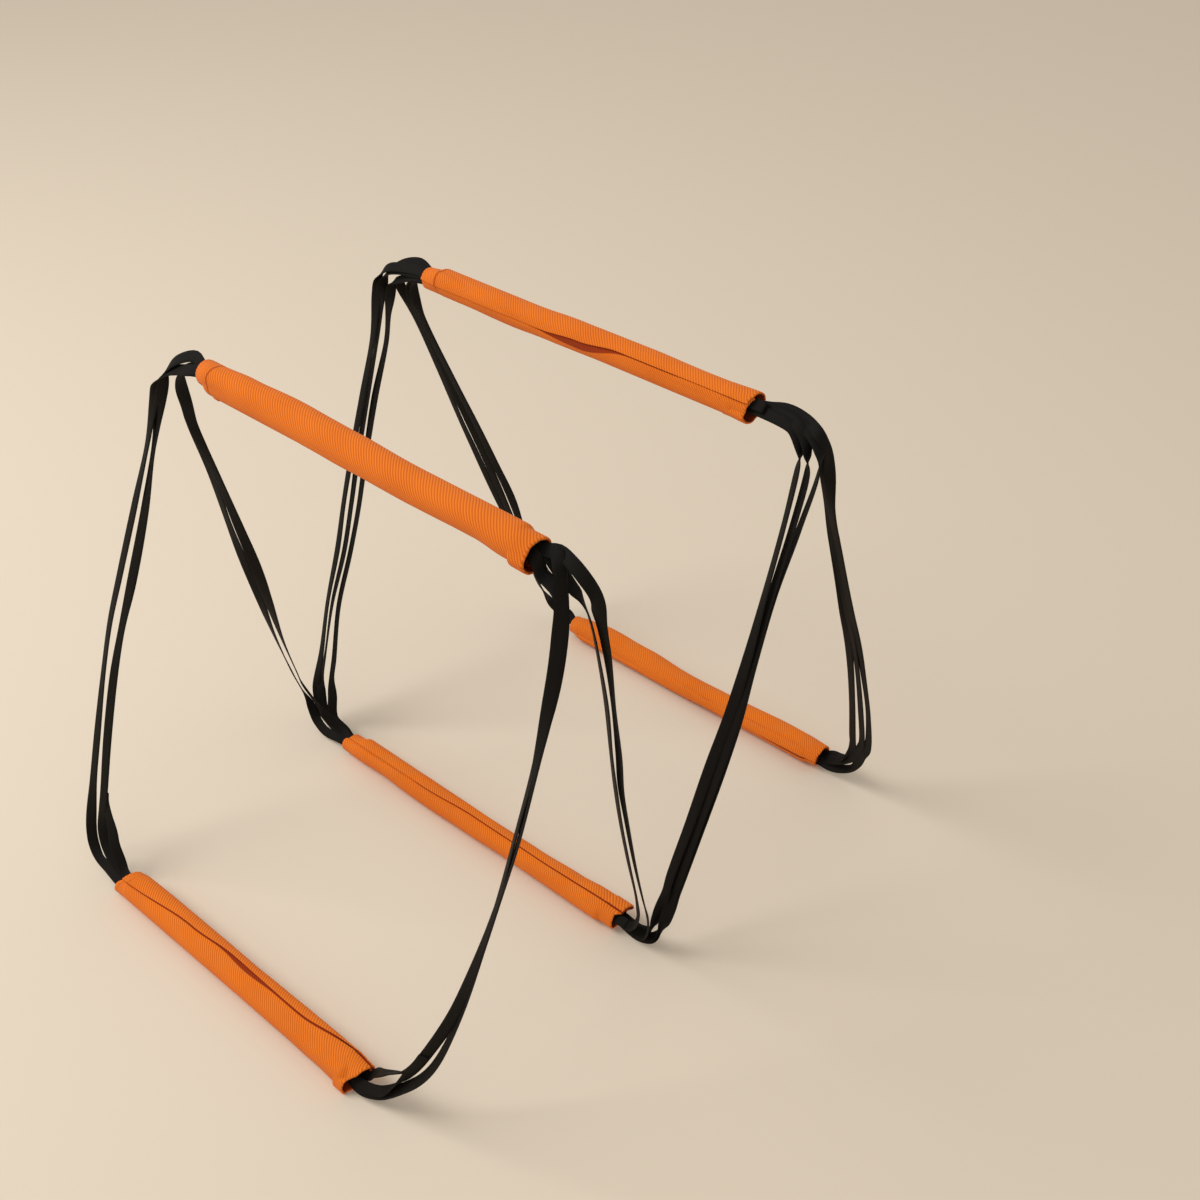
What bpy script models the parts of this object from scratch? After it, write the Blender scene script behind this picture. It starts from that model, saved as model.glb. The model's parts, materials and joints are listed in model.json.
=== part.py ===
"""Agility ladder of webbing straps and fabric-covered rungs, standing in its zigzag.

Five rungs lie across the ladder. The odd ones rest on the floor and the even ones are held
up, so the four spans of straps between them make two steep tents, one behind the other.
Each rung is a fabric sleeve round a stiffener tube, with a bundle of webbing through the
tube. The bundle comes out of both mouths, where the straps' eyes turn on it.

Lengths are in metres. +X runs along the rungs to the right, +Y from the first rung to the
last and +Z up. The origin is on the floor, in the middle of the flat under the third rung.
"""

import math
from itertools import pairwise

import bmesh
import bpy
from mathutils import Matrix, Vector

# Layout of the rungs and spans
FRONT_SPAN_LENGTH = 0.547  # from axis to axis of the first and second rungs
REAR_SPAN_LENGTH = 0.513
FRONT_SPAN_RUN = 0.138  # the floor that a front span covers while it stands
REAR_SPAN_RUN = 0.153
RUNG_SHIFTS = (-0.037, 0.055, 0.0, 0.010, 0.035)  # each rung's middle, along X

# Rungs
SLEEVE_LENGTH = 0.360
SLEEVE_LENGTH_SHARES = (0.963, 0.994, 1.029, 1.030, 0.978)  # as the fabric is drawn up
SLEEVE_WALL = 0.0022  # two layers of fabric and a little air
SLEEVE_LAP = 0.0012  # how proud the lap seam stands
SLEEVE_FLAT_DEPTH = 0.0005  # taken off the round where the rung rests
HEM_WIDTH = 0.015
HEM_STEP = 0.003  # in which the hem's thickness runs out
TUBE_DIAMETER = 0.022
TUBE_WALL = 0.0015
TUBE_RECESS = 0.020  # from the sleeve's mouth to the tube's end
SEAT_GAP = 0.0003  # between pieces that touch
SLEEVE_DIAMETER = TUBE_DIAMETER + 2 * (SEAT_GAP + SLEEVE_WALL)

# Webbing bundle through each rung
BUNDLE_DIAMETER = 0.013  # where the eyes turn on it
BUNDLE_THICKNESS = 0.006  # flat inside the tube
BUNDLE_GATHER = 0.010  # length in which it goes from flat to round
BUNDLE_START = 0.0025  # plain bundle between the sleeve's mouth and the first eye
FOLD_DIAMETER = 0.0175  # the end folded back, which keeps the eyes on
FOLD_LENGTH = 0.006

# Straps
STRAP_WIDTH = 0.010
STRAP_THICKNESS = 0.0012
EYE_WIDTH = 0.0055  # the strap gathers to this where it goes round the bundle
EYE_GAP = 0.0013  # between neighbouring eyes
GROUP_GAP = 0.0012  # between the eyes of one span and those of the next
RUNNING_GAP = 0.0004  # between an eye and the bundle
EYE_LEAD = 0.012  # straight strap next to each eye
GATHER_SHARE = 0.18  # of a strap's length, by where it has its full width

# Numbers of points round and along the shapes
ROUND_POINTS = 24
BUNDLE_POINTS = 16
EYE_STEPS = 14
STRAP_STEPS = 20
EYE_WRAP = math.radians(318)
LAP_ANGLE = math.radians(62)  # from level, on the side of the last rung
SHARP_ANGLE = math.radians(40)

# Where along a strap, from its lower rung up, the bows and twists below are given
STATION_SHARES = (0.12, 0.25, 0.5, 0.75, 0.88)
LEFT, RIGHT = -1, 1

# How far each side's innermost strap bows away from the rungs' middle at those places, as
# shares of the span's length
STRAP_BOW_SHARES = {
    (1, LEFT): (0.038, 0.072, 0.068, 0.038, 0.018),
    (2, LEFT): (0.032, 0.060, 0.082, 0.074, 0.040),
    (3, LEFT): (0.026, 0.048, 0.040, 0.030, 0.014),
    (4, LEFT): (0.000, 0.008, 0.022, 0.042, 0.030),
    (1, RIGHT): (0.040, 0.078, 0.100, 0.078, 0.036),
    (2, RIGHT): (0.030, 0.034, 0.024, 0.016, 0.006),
    (3, RIGHT): (0.018, 0.034, 0.060, 0.070, 0.036),
    (4, RIGHT): (0.028, 0.050, 0.054, 0.044, 0.022),
}

# How much further each next strap bows, as shares of a strap's width
STRAP_FAN_SHARES = {
    (1, LEFT): (1.0, 1.1, 1.2, 1.0, 0.8),
    (2, LEFT): (0.8, 1.0, 1.3, 1.2, 0.9),
    (3, LEFT): (0.7, 1.0, 1.0, 0.8, 0.6),
    (4, LEFT): (0.6, 0.9, 1.1, 1.0, 0.7),
    (1, RIGHT): (0.9, 1.1, 1.2, 1.1, 0.9),
    (2, RIGHT): (0.9, 1.0, 1.0, 0.9, 0.7),
    (3, RIGHT): (0.7, 1.0, 1.1, 1.1, 0.9),
    (4, RIGHT): (0.7, 1.0, 1.1, 0.9, 0.7),
}

# How far each strap twists there, in degrees, from the innermost strap outwards
STRAP_TWISTS = {
    (1, LEFT): ((-20, -45, -20, -30, -20), (-20, -10, 0, -5, 0)),
    (2, LEFT): ((20, 35, 50, 20, 30), (20, 30, 20, 20, 40)),
    (3, LEFT): ((0, 5, 0, -15, 0), (10, 5, 10, 0, 0), (0, 10, 0, -10, 0)),
    (4, LEFT): ((20, 30, 30, 20, 20), (20, 25, 30, 25, 20), (20, 25, 15, 15, 20)),
    (1, RIGHT): ((-20, -50, -40, 0, -10), (0, 20, 20, 30, 10)),
    (2, RIGHT): ((-35, -30, -30, -20, -15), (-35, -30, 0, -15, 20)),
    (3, RIGHT): ((0, -15, -40, 30, 20), (-20, -20, -30, 10, 10), (-20, -10, 0, 20, 20)),
    (4, RIGHT): ((0, -20, 20, 45, 10), (0, -30, -10, 25, 10), (0, -20, 0, 0, -20)),
}

# Along a sleeve between its hems, the share of the plain radius that it swells to there
SLEEVE_SWELL_SHARES = ((0.0, 0.975), (0.33, 1.035), (0.70, 1.03), (1.0, 0.975))
SLEEVE_MOUTH_SHARE = 0.985
SLEEVE_SPREAD_SHARES = (1.30, 1.0, 0.96, 0.94, 1.04)  # each sleeve's width to its height

RUNGS = range(1, len(RUNG_SHIFTS) + 1)
MIDDLE_RUNG = 3
SPANS = range(1, len(RUNG_SHIFTS))
AXIS_HEIGHT = SLEEVE_DIAMETER / 2 - SLEEVE_FLAT_DEPTH
EYE_RADIUS = BUNDLE_DIAMETER / 2 + RUNNING_GAP + STRAP_THICKNESS / 2


def material(name, colour, roughness):
    """A plain dielectric finish."""
    made = bpy.data.materials.new(name)
    made.use_nodes = True
    shader = made.node_tree.nodes["Principled BSDF"]
    shader.inputs["Base Color"].default_value = (*colour, 1.0)
    shader.inputs["Roughness"].default_value = roughness
    shader.inputs["Metallic"].default_value = 0.0
    made.diffuse_color = (*colour, 1.0)
    return made


def is_raised(rung):
    return rung % 2 == 0


def span_size(span):
    """The length and the run of a span of the front or the rear tent."""
    if span < MIDDLE_RUNG:
        return FRONT_SPAN_LENGTH, FRONT_SPAN_RUN
    return REAR_SPAN_LENGTH, REAR_SPAN_RUN


def rung_axis(rung):
    """The middle of a rung's axis."""
    run = FRONT_SPAN_RUN if rung < MIDDLE_RUNG else REAR_SPAN_RUN
    depth = run * (rung - MIDDLE_RUNG)
    height = AXIS_HEIGHT
    if is_raised(rung):
        length, run = span_size(rung)
        height += math.sqrt(length**2 - run**2)
    return Vector((RUNG_SHIFTS[rung - 1], depth, height))


def sleeve_length(rung):
    return SLEEVE_LENGTH * SLEEVE_LENGTH_SHARES[rung - 1]


def strap_count(span, side):
    return len(STRAP_TWISTS[span, side])


def outer_span(rung, side):
    """Which of a rung's two spans has its eyes further out."""
    behind, ahead = rung - 1, rung
    if side == LEFT:
        return behind if behind % 2 else ahead
    return ahead


def eye_centre(rung, span, side, number):
    """Where on a rung's axis the eye of one strap of a span turns."""
    pitch = EYE_WIDTH + EYE_GAP
    out = BUNDLE_START + EYE_WIDTH / 2 + number * pitch
    if span == outer_span(rung, side):
        inner = 2 * rung - 1 - span
        if inner in SPANS:
            out += strap_count(inner, side) * pitch + GROUP_GAP
        else:
            out += pitch + GROUP_GAP
    elif outer_span(rung, side) not in SPANS:
        out += pitch + GROUP_GAP
    return rung_axis(rung) + Vector((side * (sleeve_length(rung) / 2 + out), 0, 0))


def bundle_reach(rung, side):
    """How far past the sleeve's mouth the straight part of the bundle runs."""
    furthest = max(
        abs(eye_centre(rung, span, side, strap_count(span, side) - 1).x - rung_axis(rung).x)
        for span in (rung - 1, rung)
        if span in SPANS
    )
    return furthest + EYE_WIDTH / 2 + EYE_GAP


def through(knots, at):
    """A smooth curve through knots of (place, value) that never overshoots them."""
    rises = [(after[1] - before[1]) / (after[0] - before[0]) for before, after in pairwise(knots)]
    slopes = [0.0]
    for before, after in pairwise(rises):
        slopes.append(2 * before * after / (before + after) if before * after > 0 else 0.0)
    slopes.append(0.0)
    for (start, end), (leaving, arriving) in zip(pairwise(knots), pairwise(slopes)):
        if at <= end[0]:
            width = end[0] - start[0]
            t = (at - start[0]) / width
            return (
                (2 * t**3 - 3 * t**2 + 1) * start[1]
                + (t**3 - 2 * t**2 + t) * width * leaving
                + (3 * t**2 - 2 * t**3) * end[1]
                + (t**3 - t**2) * width * arriving
            )
    return knots[-1][1]


def join_rings(work, ring, following):
    """Quads between two rings of the same number of points."""
    count = len(ring)
    for here in range(count):
        beside = (here + 1) % count
        work.faces.new((ring[here], ring[beside], following[beside], following[here]))


def skin(rings, name, finish, pivot):
    """A closed solid over rings of points, one end of it at each end of the list."""
    mesh = bpy.data.meshes.new(name)
    work = bmesh.new()
    loops = [[work.verts.new(point) for point in ring] for ring in rings]
    for ring, following in pairwise(loops):
        join_rings(work, ring, following)
    work.faces.new(loops[0])
    work.faces.new(loops[-1])
    bmesh.ops.recalc_face_normals(work, faces=work.faces)
    work.to_mesh(mesh)
    work.free()
    return placed(mesh, name, finish, pivot)


def placed(mesh, name, finish, pivot):
    """An object whose own origin hangs on the empty at its joint's axis."""
    mesh.transform(Matrix.Translation(-pivot.location))
    mesh.materials.append(finish)
    mesh.shade_smooth()
    mesh.set_sharp_from_angle(angle=SHARP_ANGLE)
    made = bpy.data.objects.new(name, mesh)
    made.parent = pivot
    bpy.context.collection.objects.link(made)
    return made


def axis_empty(rung):
    made = bpy.data.objects.new(f"rung_{rung}_axis", None)
    made.location = rung_axis(rung)
    made.empty_display_size = SLEEVE_DIAMETER
    bpy.context.collection.objects.link(made)
    return made


def sleeve_ring(rung, place, share):
    """The sleeve's outer outline at one place: a lapped round, flat where it rests."""
    axis = rung_axis(rung)
    spread = SLEEVE_SPREAD_SHARES[rung - 1]
    step = SLEEVE_LAP / (SLEEVE_DIAMETER / 2)
    points = []
    for number in range(ROUND_POINTS + 1):
        turn = (math.tau - step) * number / ROUND_POINTS
        radius = (SLEEVE_DIAMETER / 2) * share + SLEEVE_LAP * number / ROUND_POINTS
        across = radius * spread * math.cos(LAP_ANGLE + turn)
        up = max(radius * math.sin(LAP_ANGLE + turn), -AXIS_HEIGHT)
        points.append(Vector((axis.x + place, axis.y + across, axis.z + up)))
    return points


def round_ring(rung, place, radius):
    """A plain round, with as many points as the sleeve's outline."""
    axis = rung_axis(rung)
    count = ROUND_POINTS + 1
    points = []
    for number in range(count):
        turn = LAP_ANGLE + math.tau * number / count
        points.append(axis + Vector((place, radius * math.cos(turn), radius * math.sin(turn))))
    return points


def hollow(outer, inner, name, finish, pivot):
    """A tube between an outer and an inner list of rings, open at both ends."""
    mesh = bpy.data.meshes.new(name)
    work = bmesh.new()
    around = [*outer, *reversed(inner)]
    loops = [[work.verts.new(point) for point in ring] for ring in around]
    for ring, following in zip(loops, [*loops[1:], loops[0]]):
        join_rings(work, ring, following)
    bmesh.ops.recalc_face_normals(work, faces=work.faces)
    work.to_mesh(mesh)
    work.free()
    return placed(mesh, name, finish, pivot)


def make_sleeve(rung, finish, pivot):
    """The fabric sleeve, hemmed at both ends and swelling a little between."""
    half = sleeve_length(rung) / 2
    inset = HEM_WIDTH + HEM_STEP
    between = 2 * (half - inset)
    knots = [(-half, SLEEVE_MOUTH_SHARE), (HEM_WIDTH - half, 1.0)]
    knots += [(inset - half + along * between, share) for along, share in SLEEVE_SWELL_SHARES]
    knots += [(half - HEM_WIDTH, 1.0), (half, SLEEVE_MOUTH_SHARE)]
    outer = [sleeve_ring(rung, place, share) for place, share in knots]
    bore = TUBE_DIAMETER / 2 + SEAT_GAP
    inner = [round_ring(rung, side * half, bore) for side in (LEFT, RIGHT)]
    return hollow(outer, inner, f"rung_{rung}_sleeve", finish, pivot)


def make_tube(rung, finish, pivot):
    """The stiffener tube, which ends short of the sleeve's mouths."""
    reach = sleeve_length(rung) / 2 - TUBE_RECESS
    outer, inner = (
        [round_ring(rung, side * reach, radius) for side in (LEFT, RIGHT)]
        for radius in (TUBE_DIAMETER / 2, TUBE_DIAMETER / 2 - TUBE_WALL)
    )
    return hollow(outer, inner, f"rung_{rung}_tube", finish, pivot)


def bundle_ring(rung, place, half_width, half_height):
    """A flat bar with round edges, or a full round where both halves are alike."""
    axis = rung_axis(rung)
    flat = half_width - half_height
    points = []
    for number in range(BUNDLE_POINTS):
        turn = math.tau * (number + 1 / 2) / BUNDLE_POINTS
        across = half_height * math.cos(turn) + math.copysign(flat, math.cos(turn))
        points.append(axis + Vector((place, across, half_height * math.sin(turn))))
    return points


def make_bundle(rung, finish, pivot):
    """The webbing through the tube, gathered round at both ends and folded back there."""
    flat_width = TUBE_DIAMETER / 2 - TUBE_WALL - SEAT_GAP
    sections = []
    for side in (LEFT, RIGHT):
        mouth = sleeve_length(rung) / 2
        reach = bundle_reach(rung, side)
        round_half = BUNDLE_DIAMETER / 2
        fold_half = FOLD_DIAMETER / 2
        half = [
            (mouth - BUNDLE_GATHER - TUBE_RECESS, flat_width, BUNDLE_THICKNESS / 2),
            (mouth - TUBE_RECESS / 2, round_half, round_half),
            (reach, round_half, round_half),
            (reach + FOLD_LENGTH / 4, fold_half, fold_half),
            (reach + FOLD_LENGTH * 3 / 4, fold_half, fold_half),
            (reach + FOLD_LENGTH, round_half, BUNDLE_THICKNESS / 2),
        ]
        half = [(side * place, width, height) for place, width, height in half]
        sections += reversed(half) if side == LEFT else half
    rings = [bundle_ring(rung, *section) for section in sections]
    return skin(rings, f"rung_{rung}_webbing", finish, pivot)


def strap_path(span, side, number):
    """The strap's stations in order, each with its middle, width direction and width.

    It comes round its lower eye, climbs to the upper rung and goes round its upper eye. It
    leaves the upper rung on the tent's outside and the lower one on the tent's inside, so
    that two spans on one rung swing clear of each other.
    """
    lower, upper = (span + 1, span) if is_raised(span) else (span, span + 1)
    low = eye_centre(lower, span, side, number)
    high = eye_centre(upper, span, side, number)
    length = span_size(span)[0]
    climb = Vector((0, high.y - low.y, high.z - low.z)).normalized()
    across = Vector((1, 0, 0))
    outward = climb.cross(across)
    if outward.y * (low.y - high.y) < 0:
        outward = -outward
    further = number * STRAP_WIDTH
    bowed = [
        length * share + further * fan
        for share, fan in zip(STRAP_BOW_SHARES[span, side], STRAP_FAN_SHARES[span, side])
    ]
    twists = map(math.radians, STRAP_TWISTS[span, side][number])

    def eye(centre, facing, turn):
        radial = outward * math.cos(turn) + climb * math.sin(turn)
        return centre + facing * EYE_RADIUS * radial, across, EYE_WIDTH

    lead = EYE_LEAD / length
    drift = [(0.0, 0.0), (lead, 0.0), (1 - lead, high.x - low.x), (1.0, high.x - low.x)]
    bows = [(0.0, 0.0), (lead, 0.0), *zip(STATION_SHARES, bowed), (1 - lead, 0.0), (1.0, 0.0)]
    turns = [(0.0, 0.0), *zip(STATION_SHARES, twists), (1.0, 0.0)]
    full = GATHER_SHARE
    gather = [(0.0, 0.0), (lead, 0.0), (full, 1.0), (1 - full, 1.0), (1 - lead, 0.0), (1.0, 0.0)]
    offset = [(0.0, -EYE_RADIUS), (1.0, EYE_RADIUS)]

    stations = []
    for step in range(EYE_STEPS, 0, -1):
        stations.append(eye(low, -1, EYE_WRAP * step / EYE_STEPS))
    for step in range(STRAP_STEPS + 1):
        at = (1 - math.cos(math.pi * step / STRAP_STEPS)) / 2
        middle = low + climb * length * at + outward * through(offset, at)
        middle.x += through(drift, at) + side * through(bows, at)
        turn = through(turns, at)
        width = EYE_WIDTH + (STRAP_WIDTH - EYE_WIDTH) * through(gather, at)
        stations.append((middle, across * math.cos(turn) + outward * math.sin(turn), width))
    for step in range(1, EYE_STEPS + 1):
        stations.append(eye(high, 1, EYE_WRAP * step / EYE_STEPS))
    return stations


def make_strap(span, side, number, finish, pivot):
    """One flat strap, swept along its path."""
    stations = strap_path(span, side, number)
    middles = [middle for middle, _, _ in stations]
    rings = []
    for at, (middle, wide, width) in enumerate(stations):
        ahead = middles[min(at + 1, len(middles) - 1)] - middles[max(at - 1, 0)]
        face = ahead.cross(wide).normalized() * STRAP_THICKNESS / 2
        edge = face.cross(ahead).normalized() * width / 2
        corners = (edge + face, face - edge, -edge - face, edge - face)
        rings.append([middle + corner for corner in corners])
    side_name = "left" if side == LEFT else "right"
    return skin(rings, f"span_{span}_{side_name}_strap_{number + 1}", finish, pivot)


def hinge_rung(span):
    """The rung that a span turns on: the one nearer the middle of the ladder."""
    return span + 1 if span < MIDDLE_RUNG else span


def build():
    for old in list(bpy.data.objects):
        bpy.data.objects.remove(old, do_unlink=True)
    fabric = material("orange_twill", (0.85, 0.22, 0.03), 0.85)
    plastic = material("tube_plastic", (0.55, 0.54, 0.50), 0.5)
    webbing = material("black_webbing", (0.012, 0.012, 0.013), 0.7)
    empties = {rung: axis_empty(rung) for rung in RUNGS}
    for rung in RUNGS:
        make_sleeve(rung, fabric, empties[rung])
        make_tube(rung, plastic, empties[rung])
        make_bundle(rung, webbing, empties[rung])
    for span, side in STRAP_TWISTS:
        for number in range(strap_count(span, side)):
            make_strap(span, side, number, webbing, empties[hinge_rung(span)])


build()
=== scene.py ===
"""An agility ladder standing in its zigzag, dressed over its solid model.

Five fabric rungs carry four spans of webbing straps. Each rung is a sleeve of orange twill
rolled round a stiff tube, hemmed at both mouths and closed along a seam. The straps come out
of the mouths as black webbing, turn in a loose hub beside the rung and run on to the next
one. Lengths are in metres. +X runs along the rungs, +Y from the first rung to the last and
+Z up, with the floor at zero.
"""

from __future__ import annotations

import json
import logging
import math
from collections.abc import Callable, Sequence
from dataclasses import dataclass
from enum import Enum
from itertools import accumulate, pairwise

import bmesh
import bpy
from mathutils import Matrix, Vector, noise

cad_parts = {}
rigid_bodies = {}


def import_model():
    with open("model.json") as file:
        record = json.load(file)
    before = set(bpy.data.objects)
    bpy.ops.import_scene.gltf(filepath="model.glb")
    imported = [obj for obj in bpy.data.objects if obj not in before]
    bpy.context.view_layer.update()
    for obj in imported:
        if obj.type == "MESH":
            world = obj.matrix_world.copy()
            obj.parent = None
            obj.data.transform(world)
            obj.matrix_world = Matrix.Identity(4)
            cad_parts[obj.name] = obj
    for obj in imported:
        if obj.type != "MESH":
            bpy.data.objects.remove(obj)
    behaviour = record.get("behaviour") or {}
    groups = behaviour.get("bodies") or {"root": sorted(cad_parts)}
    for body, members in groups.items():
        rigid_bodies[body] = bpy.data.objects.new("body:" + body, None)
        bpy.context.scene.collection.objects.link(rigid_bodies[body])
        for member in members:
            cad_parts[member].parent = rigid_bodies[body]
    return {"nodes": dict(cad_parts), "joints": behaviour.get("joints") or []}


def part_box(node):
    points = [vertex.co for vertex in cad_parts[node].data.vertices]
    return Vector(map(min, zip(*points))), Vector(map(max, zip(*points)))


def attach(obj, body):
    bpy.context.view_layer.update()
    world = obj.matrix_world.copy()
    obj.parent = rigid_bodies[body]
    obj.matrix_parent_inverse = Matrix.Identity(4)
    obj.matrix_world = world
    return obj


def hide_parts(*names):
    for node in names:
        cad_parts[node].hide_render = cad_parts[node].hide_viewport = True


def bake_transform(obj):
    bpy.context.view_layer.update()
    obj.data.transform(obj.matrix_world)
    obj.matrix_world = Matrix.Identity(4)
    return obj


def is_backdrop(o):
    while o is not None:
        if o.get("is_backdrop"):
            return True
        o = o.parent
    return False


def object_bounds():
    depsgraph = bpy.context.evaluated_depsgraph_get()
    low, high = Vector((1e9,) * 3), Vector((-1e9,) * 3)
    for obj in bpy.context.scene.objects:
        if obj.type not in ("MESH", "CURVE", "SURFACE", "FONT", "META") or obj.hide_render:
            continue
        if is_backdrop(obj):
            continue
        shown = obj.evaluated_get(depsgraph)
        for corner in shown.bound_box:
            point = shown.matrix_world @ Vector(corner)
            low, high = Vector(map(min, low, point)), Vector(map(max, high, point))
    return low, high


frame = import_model()
SOLID_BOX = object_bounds()

MM = 0.001
LEAST_GAP = 0.001 * MM  # the least that two knots of a curve count as apart
SHARP_ANGLE = math.radians(60)
LOG = logging.getLogger("ladder")
RUNG_COUNT = 5

Colour = tuple[float, float, float]
Point = tuple[float, float]
Place = tuple[float, float, float]
X_AXIS = Vector((1.0, 0.0, 0.0))

# The sleeves' mouths and the webbing in them lie tilted, from +Y towards +Z
TILT = math.radians(44)
WIDE = Vector((0.0, math.cos(TILT), math.sin(TILT)))
FACING = Vector((0.0, -math.sin(TILT), math.cos(TILT)))


class Side(Enum):
    """An end of the rungs, as the sign of X there."""

    LEFT = -1
    RIGHT = 1


class Wire:
    """A number that changes over a surface, which is reckoned with like any number."""

    def __init__(self, bench: Bench, socket: bpy.types.NodeSocket) -> None:
        """Hold an output socket of one material's nodes."""
        self.bench = bench
        self.socket = socket

    def reckoned(self, operation: str, *values: Wire | float) -> Wire:
        """Return the outcome of a Math node's operation on some values."""
        settings = {"operation": operation}
        return self.bench.node("ShaderNodeMath", settings, dict(enumerate(values)))

    def __add__(self, other: Wire | float) -> Wire:
        """Add."""
        return self.reckoned("ADD", self, other)

    def __sub__(self, other: Wire | float) -> Wire:
        """Take away."""
        return self.reckoned("SUBTRACT", self, other)

    def __mul__(self, other: Wire | float) -> Wire:
        """Multiply."""
        return self.reckoned("MULTIPLY", self, other)

    def wave(self) -> Wire:
        """Return the sine, brought to the range from 0 to 1."""
        return self.reckoned("SINE", self) * 0.5 + 0.5


WEAVE_SHARE = 0.8  # how much of a cloth's change of colour comes from its weave, as painted shade in its grooves
PATCH_SHARE = 0.3  # and from its patches


class Bench:
    """The nodes of one material, each made by one call."""

    def __init__(self, name: str, roughness: float, specular: float) -> None:
        """Start a material.

        Args:
            name: The material's name.
            roughness: The shader's plain roughness.
            specular: The shader's specular level.
        """
        self.material = bpy.data.materials.new(name)
        self.material.use_nodes = True
        self.tree = self.material.node_tree
        self.shader = self.tree.nodes["Principled BSDF"]
        self.set(Roughness=roughness)
        self.shader.inputs["Specular IOR Level"].default_value = specular

    def feed(self, socket: bpy.types.NodeSocket, value: Wire | float | Sequence[float]) -> None:
        """Link a wire to a socket, or set the socket's plain value."""
        if isinstance(value, Wire):
            self.tree.links.new(value.socket, socket)
        else:
            socket.default_value = value

    def node(
        self,
        kind: str,
        settings: dict[str, str | float] | None = None,
        inputs: dict[str | int, Wire | float | Sequence[float]] | None = None,
        output: str | int = 0,
    ) -> Wire:
        """Make one node.

        Args:
            kind: The node's type.
            settings: Its own settings, such as an operation.
            inputs: Values or wires for its sockets, by name or number.
            output: The output to go on with.

        Returns:
            That output.
        """
        made = self.tree.nodes.new(kind)
        for name, value in (settings or {}).items():
            setattr(made, name, value)
        for name, value in (inputs or {}).items():
            self.feed(made.inputs[name], value)
        return Wire(self, made.outputs[output])

    def set(self, **inputs: Wire | float | Sequence[float]) -> None:
        """Feed the shader's sockets, with _ for a blank in their names."""
        for name, value in inputs.items():
            self.feed(self.shader.inputs[name.replace("_", " ")], value)

    def chart(self) -> tuple[Wire, Wire]:
        """Return the places across and along the cloth, in metres."""
        flat = {"Vector": self.node("ShaderNodeUVMap", {"uv_map": "UVMap"})}
        across, along = (self.node("ShaderNodeSeparateXYZ", None, flat, axis) for axis in "XY")
        return across, along

    def cloudy(self, size: float) -> Wire:
        """Return soft patches of about a size on the piece, from 0 to 1."""
        place = self.node("ShaderNodeTexCoord", output="Object")
        inputs = {"Vector": place, "Scale": 1 / size, "Detail": 3.0}
        return self.node("ShaderNodeTexNoise", inputs=inputs)

    def blend(self, share: Wire, none: Sequence[float] | Wire, full: Sequence[float] | Wire) -> Wire:
        """Mix two colours.

        Args:
            share: How much of the second there is.
            none: The colour where the share is 0.
            full: The colour where it is 1.

        Returns:
            The mixed colour.
        """
        first, second = (
            colour if isinstance(colour, Wire) else (*colour, 1.0) for colour in (none, full)
        )
        settings = {"data_type": "RGBA"}
        return self.node("ShaderNodeMix", settings, {0: share, 6: first, 7: second}, output=2)

    def bump(self, height: Wire, depth: float) -> None:
        """Raise the surface where a height from 0 to 1 is large, up to a depth."""
        inputs = {"Strength": 1.0, "Distance": depth, "Height": height}
        self.set(Normal=self.node("ShaderNodeBump", inputs=inputs))

    def woven(self, height: Wire, patch: float, groove_shade: Colour, face: Colour) -> Wire:
        """Colour a weave by its height, with painted shade in its grooves and paler patches of about a
        size.
        """
        share = height * WEAVE_SHARE + self.cloudy(patch) * PATCH_SHARE
        return self.blend(share, groove_shade, face)


@dataclass(frozen=True)
class Twill:
    """Sturdy orange fabric with slanted ribs, painted deep red for shade where it lies inside a fold."""

    face: Colour = (0.92, 0.238, 0.022)
    # painted shade: the darker colour of the grooves between the ribs
    groove_shade: Colour = (0.50, 0.076, 0.004)
    # painted shade: the deep red of the cloth's shaded insides, in folds, in the seam's gape and along
    # the hems' inner edges
    fold: Colour = (0.30, 0.034, 0.004)
    pitch: float = 2.1 * MM
    yarn: float = 0.9 * MM
    slant: float = math.radians(40)
    waver: float = 1.6  # radians by which the ribs waver
    waver_size: float = 9.0 * MM
    patch: float = 45.0 * MM
    rib_share: float = 0.75  # of the height
    depth: float = 0.18 * MM
    sheen: float = 0.05

    def make(self) -> bpy.types.Material:
        """Build the fabric."""
        bench = Bench("orange_twill", roughness=0.86, specular=0.12)
        across, along = bench.chart()
        steps = along * (math.cos(self.slant) * math.tau / self.pitch)
        steps = steps - across * (math.sin(self.slant) * math.tau / self.pitch)
        rib = (steps + bench.cloudy(self.waver_size) * self.waver).wave()
        yarn = (across * (math.tau / self.yarn) + steps * 0.5).wave()
        height = rib * self.rib_share + yarn * (1 - self.rib_share)
        cloth = bench.woven(height, self.patch, self.groove_shade, self.face)
        # Painted shade: the inside attribute mixes in the deep red fold colour
        inside = bench.node("ShaderNodeAttribute", {"attribute_name": "inside"}, output="Fac")
        bench.set(Base_Color=bench.blend(inside, cloth, self.fold))
        bench.bump(height, self.depth)
        bench.set(Sheen_Weight=self.sheen, Sheen_Roughness=0.5)
        return bench.material


@dataclass(frozen=True)
class Webbing:
    """Black woven strap with fine lines along it."""

    face: Colour = (0.013, 0.011, 0.009)
    # painted shade: the darker colour of the grooves between the lines
    groove_shade: Colour = (0.003, 0.0025, 0.002)
    pitch: float = 1.1 * MM
    weft: float = 0.8 * MM
    patch: float = 25.0 * MM
    line_share: float = 0.7  # of the height
    depth: float = 0.10 * MM

    def make(self) -> bpy.types.Material:
        """Build the webbing."""
        bench = Bench("black_webbing", roughness=0.65, specular=0.08)
        across, along = bench.chart()
        line = (across * (math.tau / self.pitch)).wave()
        weft = (along * (math.tau / self.weft) + across * (math.pi / self.pitch)).wave()
        height = line * self.line_share + weft * (1 - self.line_share)
        bench.set(Base_Color=bench.woven(height, self.patch, self.groove_shade, self.face))
        bench.bump(height, self.depth)
        return bench.material


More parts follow.
